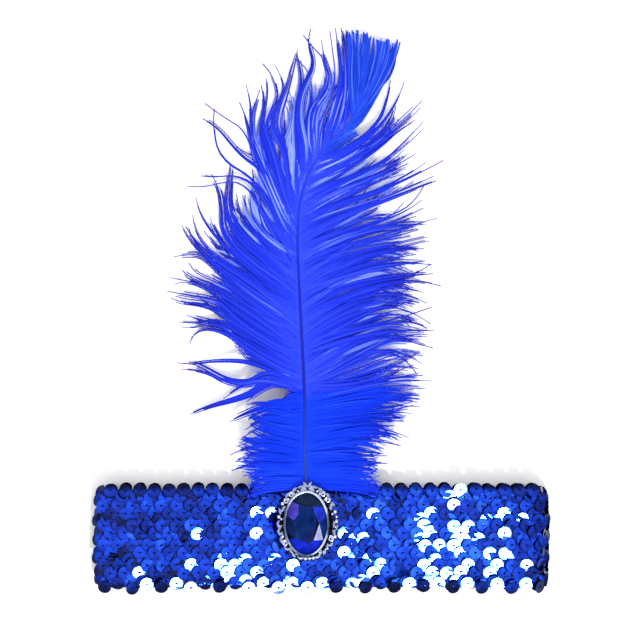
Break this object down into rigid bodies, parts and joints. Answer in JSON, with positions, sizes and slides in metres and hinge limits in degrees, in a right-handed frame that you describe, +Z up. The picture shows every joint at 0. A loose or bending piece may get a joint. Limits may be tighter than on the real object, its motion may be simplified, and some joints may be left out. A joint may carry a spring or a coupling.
{
  "type": "flapper headband",
  "caption": "Stretch sequin headband lying flat and doubled, with an ostrich plume held under an oval openwork brooch and its faceted stone.",
  "frame": {"origin": "middle of the flat underside of the folded band, on the surface it lies on", "axes": "+X along the band, +Y across it towards the plume's tip, +Z up out of the front layer and the brooch"},
  "size_m": [0.2134, 0.2634, 0.0195],
  "materials": {
    "knit": "matte stretch knit",
    "sequin": "metallised glossy film",
    "plume": "dyed matte feather",
    "setting": "antiqued silver plate",
    "stone": "polished, foil-backed"
  },
  "bodies": {
    "root": {"knit_band": "knit", "sequin_row_1": "sequin", "sequin_row_2": "sequin", "sequin_row_3": "sequin", "sequin_row_4": "sequin", "sequin_row_5": "sequin", "plume": "plume", "brooch_setting": "setting", "brooch_stone": "stone"}
  },
  "joints": []
}
